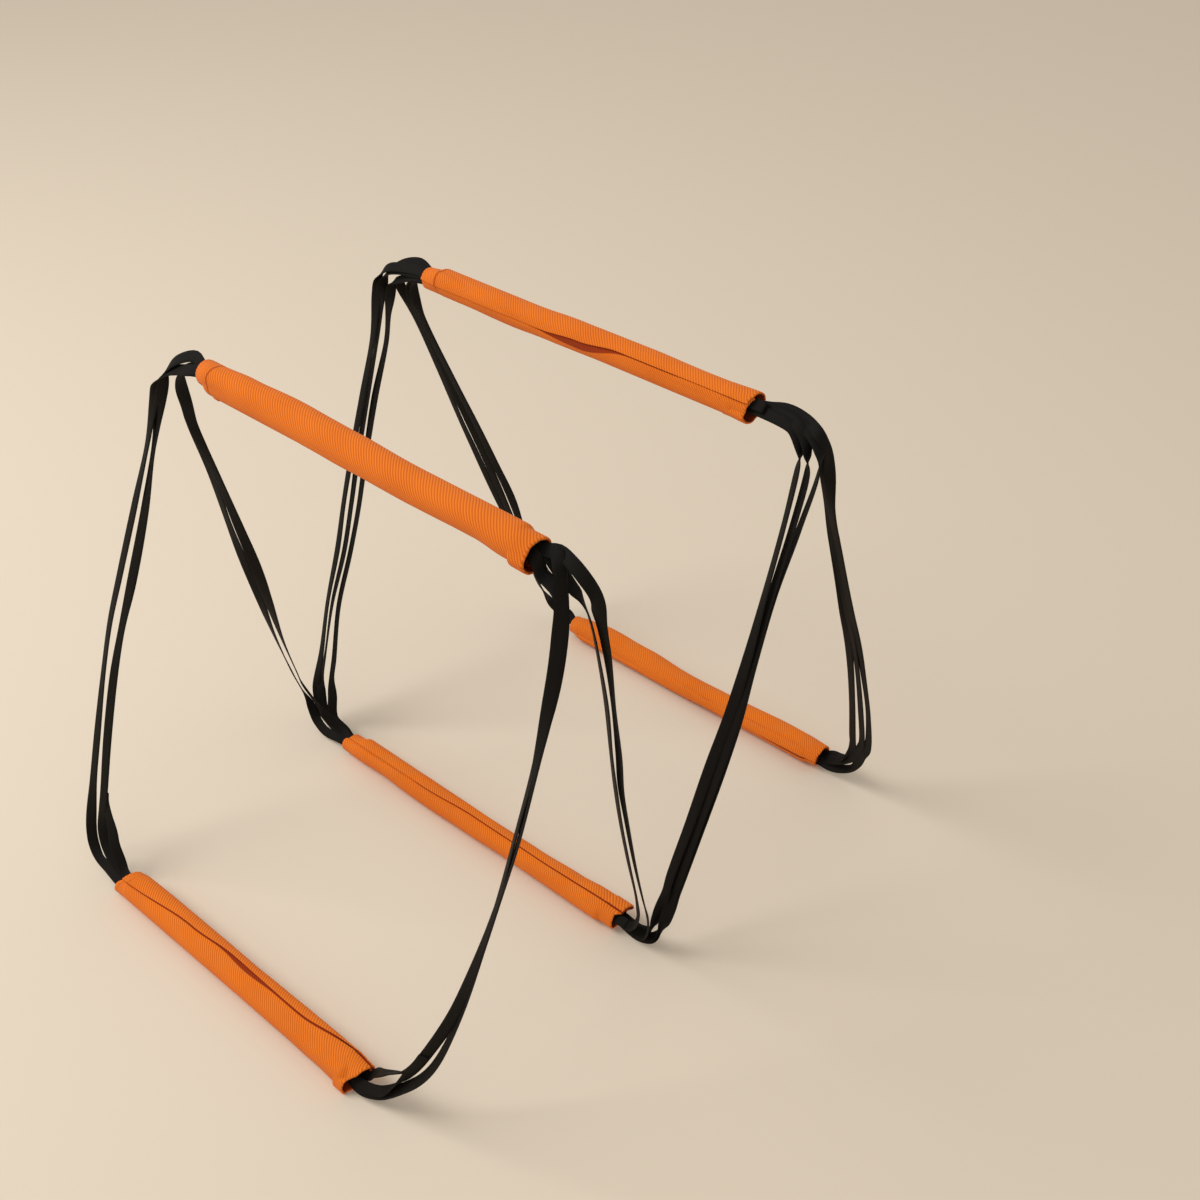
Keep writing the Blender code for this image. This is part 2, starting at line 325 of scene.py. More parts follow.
@dataclass(frozen=True)
class TubePlastic:
    """Matt grey plastic of the stiffener tubes."""

    face: Colour = (0.42, 0.41, 0.38)
    scuffed: Colour = (0.34, 0.33, 0.31)
    patch: float = 20.0 * MM
    grain: float = 1.5 * MM
    depth: float = 0.03 * MM

    def make(self) -> bpy.types.Material:
        """Build the plastic."""
        bench = Bench("tube_plastic", roughness=0.5, specular=0.5)
        bench.set(Base_Color=bench.blend(bench.cloudy(self.patch), self.face, self.scuffed))
        bench.bump(bench.cloudy(self.grain), self.depth)
        return bench.material


@dataclass(frozen=True)
class Thread:
    """Dark red sewing thread."""

    face: Colour = (0.42, 0.075, 0.015)
    shade_share: float = 0.6  # how bright the painted shade in the grooves is beside the face
    twist: float = 0.5 * MM
    depth: float = 0.05 * MM

    def make(self) -> bpy.types.Material:
        """Build the thread."""
        bench = Bench("red_thread", roughness=0.6, specular=0.4)
        across, along = bench.chart()
        ply = ((along + across) * (math.tau / self.twist)).wave()
        # Painted shade in the grooves between the plies
        groove_shade = tuple(channel * self.shade_share for channel in self.face)
        bench.set(Base_Color=bench.blend(ply, groove_shade, self.face))
        bench.bump(ply, self.depth)
        return bench.material


@dataclass(frozen=True)
class PaleFloor:
    """Plain warm floor."""

    face: Colour = (0.76, 0.655, 0.525)

    def make(self) -> bpy.types.Material:
        """Build the floor's finish."""
        bench = Bench("pale_floor", roughness=0.9, specular=0.1)
        bench.set(Base_Color=(*self.face, 1.0))
        return bench.material


def eased(value: float) -> float:
    """Turn a share from 0 to 1 into a smooth one, held at both ends."""
    held = min(max(value, 0.0), 1.0)
    return held * held * (3 - 2 * held)


def hump(value: float, start: float, end: float) -> float:
    """Return a smooth rise and fall between two places, 1 in their middle."""
    if not start < value < end:
        return 0.0
    return math.sin(math.pi * (value - start) / (end - start)) ** 2


def within(value: float, start: float, end: float, fade: float) -> float:
    """Tell how far a value is inside a range, from 0 at its ends to 1 a fade further in."""
    return eased((value - start) / fade) * eased((end - value) / fade)


def between(knots: Sequence[Point], at: float) -> float:
    """Return a value eased between knots of (place, value)."""
    if at <= knots[0][0]:
        return knots[0][1]
    for (start, low), (end, high) in pairwise(knots):
        if at <= end:
            return low + (high - low) * eased((at - start) / (end - start))
    return knots[-1][1]


def spaced(marks: Sequence[float], counts: Sequence[int]) -> list[float]:
    """List places from the first mark to the last, with so many steps from mark to mark."""
    places = [
        start + (end - start) * step / count
        for (start, end), count in zip(pairwise(marks), counts)
        for step in range(count)
    ]
    return [*places, marks[-1]]


def bent_through(knots: Sequence[Vector], step: float) -> list[Vector]:
    """Follow a smooth curve through some knots.

    Args:
        knots: The knots, whose last number may be any other value that goes along.
        step: About how far apart the points found are.

    Returns:
        Points on the curve from the first knot to the last.
    """
    padded = [2 * knots[0] - knots[1], *knots, 2 * knots[-1] - knots[-2]]
    found = []
    for before, start, end, after in zip(padded, padded[1:], padded[2:], padded[3:]):
        gaps = [(b - a).length for a, b in pairwise((before, start, end, after))]
        t0, t1, t2, t3 = accumulate((max(gap, LEAST_GAP) ** 0.5 for gap in gaps), initial=0.0)
        count = max(1, round((end - start).length / step))
        for number in range(count):
            t = t1 + (t2 - t1) * number / count
            a = before.lerp(start, (t - t0) / (t1 - t0))
            b = start.lerp(end, (t - t1) / (t2 - t1))
            c = end.lerp(after, (t - t2) / (t3 - t2))
            d = a.lerp(b, (t - t0) / (t2 - t0))
            e = b.lerp(c, (t - t1) / (t3 - t1))
            found.append(d.lerp(e, (t - t1) / (t2 - t1)))
    return [*found, knots[-1].copy()]


def laid_grid(
    columns: Sequence[float],
    rows: Sequence[float],
    place: Callable[[float, float], Vector],
    chart: Callable[[float, float], Point],
    inside: Callable[[float, float], float] | None = None,
) -> bmesh.types.BMesh:
    """Bend a flat grid to a shape and keep its weave laid out flat.

    Args:
        columns: The grid's places across.
        rows: Its places along.
        place: Where a place of the grid comes to lie.
        chart: Where it is on the flat cloth, in metres.
        inside: How much painted shade it takes where it lies inside a fold, from 0 to 1.

    Returns:
        The bent grid.
    """
    work = bmesh.new()
    across, along = len(columns) - 1, len(rows) - 1
    bmesh.ops.create_grid(work, x_segments=across, y_segments=along, size=1.0)
    reach = max(vert.co.x for vert in work.verts)
    flat = work.loops.layers.uv.new("UVMap")
    # The painted shade is kept in the inside attribute
    depth = work.verts.layers.float.new("inside")
    spots = {}
    for vert in work.verts:
        column = columns[round((vert.co.x / reach + 1) / 2 * across)]
        spots[vert] = column, rows[round((vert.co.y / reach + 1) / 2 * along)]
    for face in work.faces:
        for loop in face.loops:
            loop[flat].uv = chart(*spots[loop.vert])
    for vert, spot in spots.items():
        vert[depth] = inside(*spot) if inside else 0.0
        vert.co = place(*spot)
    return work


def placed(name: str, data: bpy.types.ID) -> bpy.types.Object:
    """Make an object of some data and put it into the scene."""
    made = bpy.data.objects.new(name, data)
    bpy.context.scene.collection.objects.link(made)
    return made


def finished(
    work: bmesh.types.BMesh, name: str, finish: bpy.types.Material
) -> bpy.types.Object:
    """Turn a mesh into a piece.

    Args:
        work: The mesh, which is freed.
        name: The piece's name.
        finish: Its material.

    Returns:
        The new object, at the origin.
    """
    mesh = bpy.data.meshes.new(name)
    work.to_mesh(mesh)
    work.free()
    mesh.materials.append(finish)
    mesh.shade_smooth()
    mesh.set_sharp_from_angle(angle=SHARP_ANGLE)
    piece = placed(name, mesh)
    return piece


@dataclass(frozen=True)
class Rung:
    """Where one rung lies in the solid model."""

    number: int
    centre: Vector
    half: float  # of the sleeve's length

    @classmethod
    def found(cls, number: int) -> Rung:
        """Find a rung by its sleeve and by a joint on it."""
        low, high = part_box(f"rung_{number}_sleeve")
        body = f"rung_{number}"
        joint = next(j for j in frame["joints"] if body in (j["parent"], j["child"]))
        return cls(number, Vector(joint["pos_m"]), (high.x - low.x) / 2)

    def mouth(self, side: Side, out: float = 0.0) -> Vector:
        """Return the middle of a mouth, or a place further out."""
        return self.centre + X_AXIS * side.value * (self.half + out)

    def away(self, place: Vector) -> Vector:
        """Return the way from the rung's axis to a place, square to the axis."""
        off = place - self.centre
        return Vector((0.0, off.y, off.z))

    @property
    def raised(self) -> bool:
        """Tell whether the rung stands off the floor."""
        return self.number % 2 == 0


@dataclass(frozen=True)
class Span:
    """The straps' run between two rungs, from the lower one up."""

    number: int
    lower: Rung
    upper: Rung

    @property
    def length(self) -> float:
        """Return how far apart the two rungs' axes are."""
        rise = self.upper.centre - self.lower.centre
        return math.hypot(rise.y, rise.z)

    @property
    def outward(self) -> Vector:
        """Return the direction off the tent's outside, square to the span."""
        rise = self.upper.centre - self.lower.centre
        normal = Vector((0.0, rise.z, -rise.y)).normalized()
        return normal if normal.z > 0 else -normal

    def place(self, side: Side, up: float, out: float, off: float = 0.0) -> Vector:
        """Find a place so far up the span, out from the line of its mouths and off the tent."""
        line = self.lower.mouth(side).lerp(self.upper.mouth(side), up / self.length)
        return line + X_AXIS * side.value * out + self.outward * off


def held_off(value: float, least: float, soft: float) -> float:
    """Keep a value from going below another one, with a soft bend where it would."""
    meet = max(soft - abs(value - least), 0.0)
    return max(value, least) + meet * meet / (4 * soft)


MOUTH_WAVES = 2.2  # how many waves a mouth's edge has, roughly
MOUTH_RAGGED = 0.9 * MM  # how far out the waves reach
MOUTH_REACH = 30.0 * MM  # how far into the sleeve a mouth's slant pulls the cloth along
# Cosines of the angle off the middle of a tongue or a tab, where it starts and over which it rises
TONGUE_START = 0.5
TONGUE_RISE = 0.4
TAB_START = 0.55
TAB_RISE = 0.3

MOUTH_SEED = 5.0  # from one rung's ragged mouths to the next one's
WRINKLE_PITCH = 30.0  # wrinkles in a metre along a sleeve, roughly
WRINKLE_WAVES = 1.3  # and round it
WRINKLE_SEED = 7  # from one rung's wrinkles to the next one's

# Where along a sleeve its widths and shifts are given
WIDTH_SHARES = (0.0, 0.06, 0.15, 0.3, 0.5, 0.7, 0.85, 0.93, 1.0)
CLOSED_SHARE = 0.35  # how wide the cloth's step at the seam is where the seam is closed


@dataclass(frozen=True)
class Mouth:
    """How one end of a sleeve lies open. Angles are round the rung, in degrees."""

    flat: float = 0.65  # thickness to width
    further: float = 0.0  # how far out its longest side is past the rung's end
    slant: float = 0.0  # half of how much further out that is than the shortest side
    slant_angle: float = 44.0
    hem: float = 0.4 * MM  # how far the hem stands out
    hem_width: float = 14.0 * MM
    tab: float = 0.0  # how much further it does at one side
    tab_angle: float = 222.0
    tongue: float = 0.0  # how far a corner of the cloth sticks out
    tongue_angle: float = 60.0
    line: float = 0.0  # how dark the painted shade along the hem's inner edge is, up to 1
    stitched: bool = False

    def out(self, angle: float, seed: float) -> float:
        """Return how much further out than the rung's end the mouth is at an angle."""
        slanted = self.slant * (math.cos(angle - math.radians(self.slant_angle)) - 1)
        facing = math.cos(angle - math.radians(self.tongue_angle))
        spot = Vector((math.cos(angle), math.sin(angle), seed)) * MOUTH_WAVES
        ragged = noise.noise(spot) * MOUTH_RAGGED
        tongue = self.tongue * eased((facing - TONGUE_START) / TONGUE_RISE)
        return self.further + slanted + tongue + ragged

    def proud(self, angle: float) -> float:
        """Return how far the hem stands out at an angle."""
        facing = math.cos(angle - math.radians(self.tab_angle))
        return self.hem + self.tab * eased((facing - TAB_START) / TAB_RISE)


@dataclass(frozen=True)
class Crease:
    """A soft dent that runs along a sleeve, as places of a share of the length and degrees."""

    line: tuple[Point, ...]
    depth: float = 1.0 * MM
    breadth: float = 10.0  # degrees
    fading_share: float = 0.06  # of the length, over which it starts and ends

    def sunk(self, angle: float, share: float) -> float:
        """Return how deep the dent is at an angle and a share of the length."""
        fade = self.fading_share
        along = within(share, self.line[0][0] - fade, self.line[-1][0] + fade, fade)
        off = math.degrees(angle) - between(self.line, share)
        off = (off + 180) % 360 - 180
        return self.depth * along * math.exp(-((off / self.breadth) ** 2))


@dataclass(frozen=True)
class Sleeve:
    """The fabric rolled round one rung, with its seam, its hems and its gape.

    Angles are round the rung, from +Y towards +Z. The roll starts under the seam, goes round
    over the front and the bottom, and its free edge ends on the seam again. The widths and
    shifts are the sleeve's as it is seen, at WIDTH_SHARES, in millimetres.
    """

    rung: Rung
    seam: tuple[Point, ...]  # shares of the length, and degrees
    widths: tuple[float, ...]
    shifts: tuple[float, ...]
    mouths: tuple[Mouth, Mouth]
    gape_shares: Point = (0.0, 0.0)  # of the length, where the gape starts and ends
    gape_width: float = 0.0
    slit: float = 0.3 * MM  # how far the seam stands open where it shows
    shown_shares: Point = (-0.1, 1.1)  # of the length, where the seam starts and ends to show
    closing_share: float = 0.05  # of the length, over which it closes
    creases: tuple[Crease, ...] = ()

    cloth: float = 0.85 * MM
    around: float = 13.3 * MM  # radius of the cloth where it lies round
    bore: float = 11.3 * MM  # radius of the room for the tube
    tube_recess: float = 20.0 * MM  # how far inside the mouths the tube ends
    tuck: float = 1.2 * MM  # from one layer to the next
    hem_tuck: float = 2.0 * MM
    dip: float = 0.8 * MM  # how much deeper the cloth lies inside the gape
    hem_step: float = 1.6 * MM  # over which a hem's inner edge rises
    hem_shade_line: float = 1.4 * MM  # half of how wide the painted shade line at a hem's inner edge is
    lip: float = 0.65 * MM  # radius of the fold at a mouth
    overlap: float = math.radians(40)
    crease: float = 1.0 * MM  # in which the cloth comes up from the gape
    wrinkle: float = 0.45 * MM
    thin_share: float = 0.7  # of its radius, the least that a flattened sleeve keeps
    soft: float = 1.0 * MM  # over which the cloth comes to lie on the tube

    seam_zone: float = 1.0  # radians past the seam in which the grid is fine
    edge_zone: float = 0.3  # radians before the free edge
    turn_steps: tuple[int, ...] = (8, 56, 70, 10)  # under the seam, past it, round, at the edge
    hem_steps: tuple[int, ...] = (28, 6, 8)  # up to the fold, round it and under it
    plain_steps: int = 110  # from hem to hem

    def turns(self) -> list[float]:
        """List the places round the roll, closer together at the seam, as angles."""
        seam, end = self.overlap, self.overlap + math.tau
        marks = (0.0, seam, seam + self.seam_zone, end - self.edge_zone, end)
        return spaced(marks, self.turn_steps)

    def stations(self) -> list[float]:
        """List the places along the cloth from hem to hem, beyond the mouths where it turns in."""
        left, right = (self.end_stations(mouth) for mouth in self.mouths)
        plain = spaced((-left[0], right[0]), (self.plain_steps,))
        return [-place for place in reversed(left)] + plain[1:-1] + right

    def end_stations(self, mouth: Mouth) -> list[float]:
        """List a mouth's places along the cloth, as distances from the sleeve's middle."""
        bend = math.pi * self.lip
        body = self.rung.half - self.lip - bend / 2
        start = body - mouth.hem_width - self.hem_step * 2
        return spaced((start, body, body + bend, body + bend + mouth.hem_width), self.hem_steps)

    def folded(self, station: float) -> Point:
        """Find how a place along the cloth lies after the hems are turned in.

        Args:
            station: The place along the flat cloth, from its middle.

        Returns:
            Its place along the rung and how deep it lies under the hem.
        """
        bend = math.pi * self.lip / 2
        past = abs(station) - (self.rung.half - self.lip)
        if past <= -bend:
            return station, 0.0
        if past >= bend:
            along = self.rung.half - self.lip - (past - bend)
            return math.copysign(along, station), 2 * self.lip
        turn = past / self.lip
        along = self.rung.half - self.lip + self.lip * math.cos(turn)
        return math.copysign(along, station), self.lip * (1 + math.sin(turn))

    def share(self, along: float) -> float:
        """Return how far from the left mouth to the right one a place is."""
        return (along / self.rung.half + 1) / 2

    def seam_angle(self, share: float) -> float:
        """Return where the seam is at a share of the length."""
        return math.radians(between(self.seam, share))

    def opened(self, share: float) -> float:
        """Tell how much the seam shows at a share of the length."""
        return within(share, *self.shown_shares, self.closing_share)

    def hemmed(self, along: float) -> float:
        """Tell how much of a place along the rung is hem."""
        inset = self.rung.half - abs(along)
        return 1 - eased((inset - self.mouths[along > 0].hem_width) / self.hem_step)

    def risen(self, turn: float, share: float) -> float:
        """Tell how far up the cloth has come from the gape."""
        opened = self.opened(share)
        gape = self.slit * opened + self.gape_width * hump(share, *self.gape_shares)
        crease = self.crease * (CLOSED_SHARE + (1 - CLOSED_SHARE) * opened)
        return eased(((turn - self.overlap) * self.around - gape) / crease)

    def sunk(self, turn: float, along: float) -> float:
        """Return how far below the roll's outside a place of the cloth lies."""
        tuck = self.tuck + (self.hem_tuck - self.tuck) * self.hemmed(along)
        depth = tuck * (1 - (turn - self.overlap) / math.tau)
        return depth + self.dip * (1 - self.risen(turn, self.share(along)))

    def given(self, values: Sequence[float], share: float) -> float:
        """Return one of the widths or shifts at a share of the length, in metres."""
        return between(list(zip(WIDTH_SHARES, values)), share) * MM

    def outside(self, angle: float, along: float, free: float) -> float:
        """Find how far from the axis the sleeve reaches.

        Args:
            angle: The place round the rung.
            along: The place along it.
            free: How much the tube no longer holds the cloth there.

        Returns:
            The distance.
        """
        share = self.share(along)
        mouth = self.mouths[along > 0]
        wide = self.given(self.widths, share) / 2 - self.cloth / 2
        least = self.around * self.thin_share
        thick = math.sqrt(max(2 * self.around**2 - wide**2, least**2))
        thick += (wide * mouth.flat - thick) * free
        at = angle - TILT
        radius = 1 / math.hypot(math.cos(at) / wide, math.sin(at) / thick)
        across, up = (turned(angle) * WRINKLE_WAVES for turned in (math.cos, math.sin))
        spot = Vector((along * WRINKLE_PITCH, across, up + WRINKLE_SEED * self.rung.number))
        radius += self.given(self.shifts, share) * math.cos(at) + noise.noise(spot) * self.wrinkle
        radius -= sum(crease.sunk(angle, share) for crease in self.creases)
        return radius + mouth.proud(angle) * self.hemmed(along)

    def place(self, turn: float, station: float) -> Vector:
        """Find where a place of the flat cloth comes to lie.

        Args:
            turn: How far round the roll it is.
            station: How far along from the middle.

        Returns:
            The place.
        """
        along, depth = self.folded(station)
        angle = self.seam_angle(self.share(along)) - self.overlap + turn
        opening = eased(1 - (self.rung.half - abs(along)) / MOUTH_REACH)
        seed = self.rung.number * MOUTH_SEED + math.copysign(1, along)
        out = self.mouths[along > 0].out(angle, seed) * opening
        free = eased((abs(along) + out - self.rung.half) / self.tube_recess + 1)
        lowest = turn if turn <= math.tau else turn - math.tau
        least = (self.bore + self.cloth / 2) * (1 - free) + self.sunk(lowest, along)
        outside = self.outside(angle, along, free)
        radius = held_off(outside, least, self.soft) - self.sunk(turn, along) - depth
        rise = radius * math.sin(angle)
        if not self.rung.raised:
            rise = max(rise, self.cloth / 2 + depth - self.rung.centre.z)
        across = along + math.copysign(out, along * out)
        return self.rung.centre + Vector((across, radius * math.cos(angle), rise))

    def inside(self, turn: float, station: float) -> float:
        """Tell how much painted shade a place of the cloth takes: in the seam's gape, along a hem's
        inner edge and where it lies inside a fold.
        """
        along, depth = self.folded(station)
        share = self.share(along)
        inset = self.rung.half - abs(along)
        mouth = self.mouths[along > 0]
        # Painted shade along the hem's inner edge, in the seam's gape and on the cloth turned in at the
        # mouth
        line = hump(inset, mouth.hem_width - self.hem_shade_line, mouth.hem_width + self.hem_shade_line)
        seam = (1 - self.risen(turn, share)) * self.opened(share)
        return max(seam, line * mouth.line, eased(depth / self.lip - 1))

    def chart(self, turn: float, station: float) -> Point:
        """Return where a place is on the flat cloth."""
        return turn * self.around, station

    def build(self, finish: bpy.types.Material) -> bpy.types.Object:
        """Make the sleeve.

        Args:
            finish: The fabric.

        Returns:
            The piece, riding on its rung.
        """
        turns, stations = self.turns(), self.stations()
        work = laid_grid(turns, stations, self.place, self.chart, self.inside)
        if self.faces_inwards(work):
            bmesh.ops.reverse_faces(work, faces=work.faces)
        number = self.rung.number
        piece = finished(work, f"rung_{number}_fabric", finish)
        thick = piece.modifiers.new("thickness", "SOLIDIFY")
        thick.thickness = self.cloth
        thick.offset = 0.0
        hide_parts(f"rung_{number}_sleeve")
        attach(piece, f"rung_{number}")
        flat = (turns[-1] * self.around, stations[-1] - stations[0])
        return piece

    def faces_inwards(self, work: bmesh.types.BMesh) -> bool:
        """Tell whether the cloth's faces look at the rung's axis."""
        work.faces.ensure_lookup_table()
        work.normal_update()
        face = work.faces[len(work.faces) // 2]
        return face.normal.dot(self.rung.away(face.calc_center_median())) < 0


@dataclass(frozen=True)
class Stitches:
    """The rows of thread that hold down the hems of one sleeve."""

    sleeve: Sleeve
    inset: float = 4.5 * MM  # from the mouth's edge
    pitch: float = 3.2 * MM
    clear: Point = (0.35, 0.2)  # radians left free after the seam, and before it again
    # Half of a stitch's length, width and height
    size: tuple[float, float, float] = (0.9 * MM, 0.25 * MM, 0.18 * MM)

    def build(self, finish: bpy.types.Material) -> bpy.types.Object:
        """Make the stitches as one piece.

        Args:
            finish: The thread.

        Returns:
            The piece, riding on its rung.
        """
        sleeve = self.sleeve
        work = bmesh.new()
        work.loops.layers.uv.new("UVMap")
        after, before = self.clear
        start, end = sleeve.overlap + after, sleeve.overlap + math.tau - before
        count = round((end - start) * sleeve.around / self.pitch)
        for side, mouth in zip(Side, sleeve.mouths):
            if mouth.stitched:
                station = side.value * (sleeve.rung.half - self.inset)
                for turn in spaced((start, end), (count,)):
                    self.sew(work, turn, station)
        name = f"rung_{sleeve.rung.number}"
        piece = finished(work, f"{name}_stitches", finish)
        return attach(piece, name)

    def sew(self, work: bmesh.types.BMesh, turn: float, station: float) -> None:
        """Add one stitch at a place of the cloth."""
        step = self.size[0] / self.sleeve.around
        before, after = (self.sleeve.place(turn + way * step, station) for way in (-1, 1))
        round_way = (after - before).normalized()
        off = X_AXIS.cross(round_way).normalized()
        middle = (before + after) / 2
        if off.dot(self.sleeve.rung.away(middle)) < 0:
            off = -off
        length, width, height = self.size
        shape = Matrix((round_way * length, X_AXIS * width, off * height)).transposed().to_4x4()
        spot = Matrix.Translation(middle + off * self.sleeve.cloth / 2)
        bmesh.ops.create_icosphere(work, subdivisions=2, radius=1.0, matrix=spot @ shape)


@dataclass(frozen=True)
class Band:
    """Flat webbing swept along a path."""

    width: float = 10.0 * MM
    thickness: float = 1.2 * MM
    step: float = 3.5 * MM
    weld: float = 0.01 * MM  # within which points become one

    def outline(self) -> list[Point]:
        """List the outline's points, as places across and up."""
        flat = self.width / 2 - self.thickness / 2
        top = [flat * share for share in (-1.0, -0.5, 0.0, 0.5, 1.0)]
        points = [(x, self.thickness / 2) for x in top]
        points += [(self.width / 2, 0.0)]
        points += [(x, -self.thickness / 2) for x in reversed(top)]
        points += [(-self.width / 2, 0.0)]
        return [*points, points[0]]

    def sweep(self, path: Sequence[tuple[Vector, Vector]]) -> bmesh.types.BMesh:
        """Sweep the webbing along a path.

        Args:
            path: Its middles in order, each with the direction of its width.

        Returns:
            A closed mesh.
        """
        outline = self.outline()
        gaps = ((end - start).length for (start, _), (end, _) in pairwise(path))
        lengths = list(accumulate(gaps, initial=0.0))
        sections = []
        for number, (middle, wide) in enumerate(path):
            ahead = path[min(number + 1, len(path) - 1)][0] - path[max(number - 1, 0)][0]
            up = ahead.cross(wide).normalized()
            sections.append((middle, up.cross(ahead).normalized(), up))

        def place(column: float, row: float) -> Vector:
            """Find where a point of the outline lies in one section."""
            middle, wide, up = sections[int(row)]
            x, y = outline[int(column)]
            return middle + wide * x + up * y

        def chart(column: float, row: float) -> Point:
            """Return where it is on the flat webbing."""
            return outline[int(column)][0], lengths[int(row)]

        work = laid_grid(range(len(outline)), range(len(path)), place, chart)
        bmesh.ops.remove_doubles(work, verts=work.verts, dist=self.weld)
        rims = [edge for edge in work.edges if edge.is_boundary]
        bmesh.ops.holes_fill(work, edges=rims, sides=0)
        bmesh.ops.recalc_face_normals(work, faces=work.faces)
        return work


@dataclass(frozen=True)
class Strap:
    """One strap of a span, as far out and as turned as it hangs.

    Its bows and twists are at BOW_SHARES of the span from the lower rung up, in millimetres and
    degrees. With a twist of 0 its face looks off the tent. Its low and high ends are listed from
    the mouth away: how far out, up the mouth's tilt and along the span, in millimetres.
    """

    bows: tuple[float, ...]
    twists: tuple[float, ...]
    low: tuple[Place, ...]
    high: tuple[Place, ...]
    edge_on: tuple[bool, bool] = (False, False)  # whether it turns edge on, low and high


@dataclass(frozen=True)
class Spare:
    """A strand of the webbing that comes out of a mouth and ends under a strap."""

    end: tuple[Place, ...]
    level: float  # millimetres, towards the front
    twist: float  # degrees, away from the mouth
    top: bool = False  # whether the mouth is the upper rung's


BOW_SHARES = (0.15, 0.27, 0.40, 0.50, 0.60, 0.73, 0.85)
TUCK_IN = 17.0 * MM  # how far each strap runs into the sleeve
LAYER = 2.0 * MM  # between the straps of a span, off the tent
STACKED = 1.35 * MM  # between the straps inside a mouth
HUB_FLAT = 12.0 * MM  # how far along the span a strap starts to turn from its way in the mouth
HUB_HEIGHT = 60.0 * MM  # and where it has its own twist
EDGE_ON_HEIGHT = 36.0 * MM  # or where it has it if it turns edge on
BENDING = (-8.0 * MM, 28.0 * MM)  # from a rung's axis, at which a piece's start and end are found
TUCKED_SHARE = 0.5  # how much of its place across the mouth a strap keeps inside the sleeve
TURN_SCALE = 10.0 * MM  # the length that a radian of turn counts as among a strap's knots

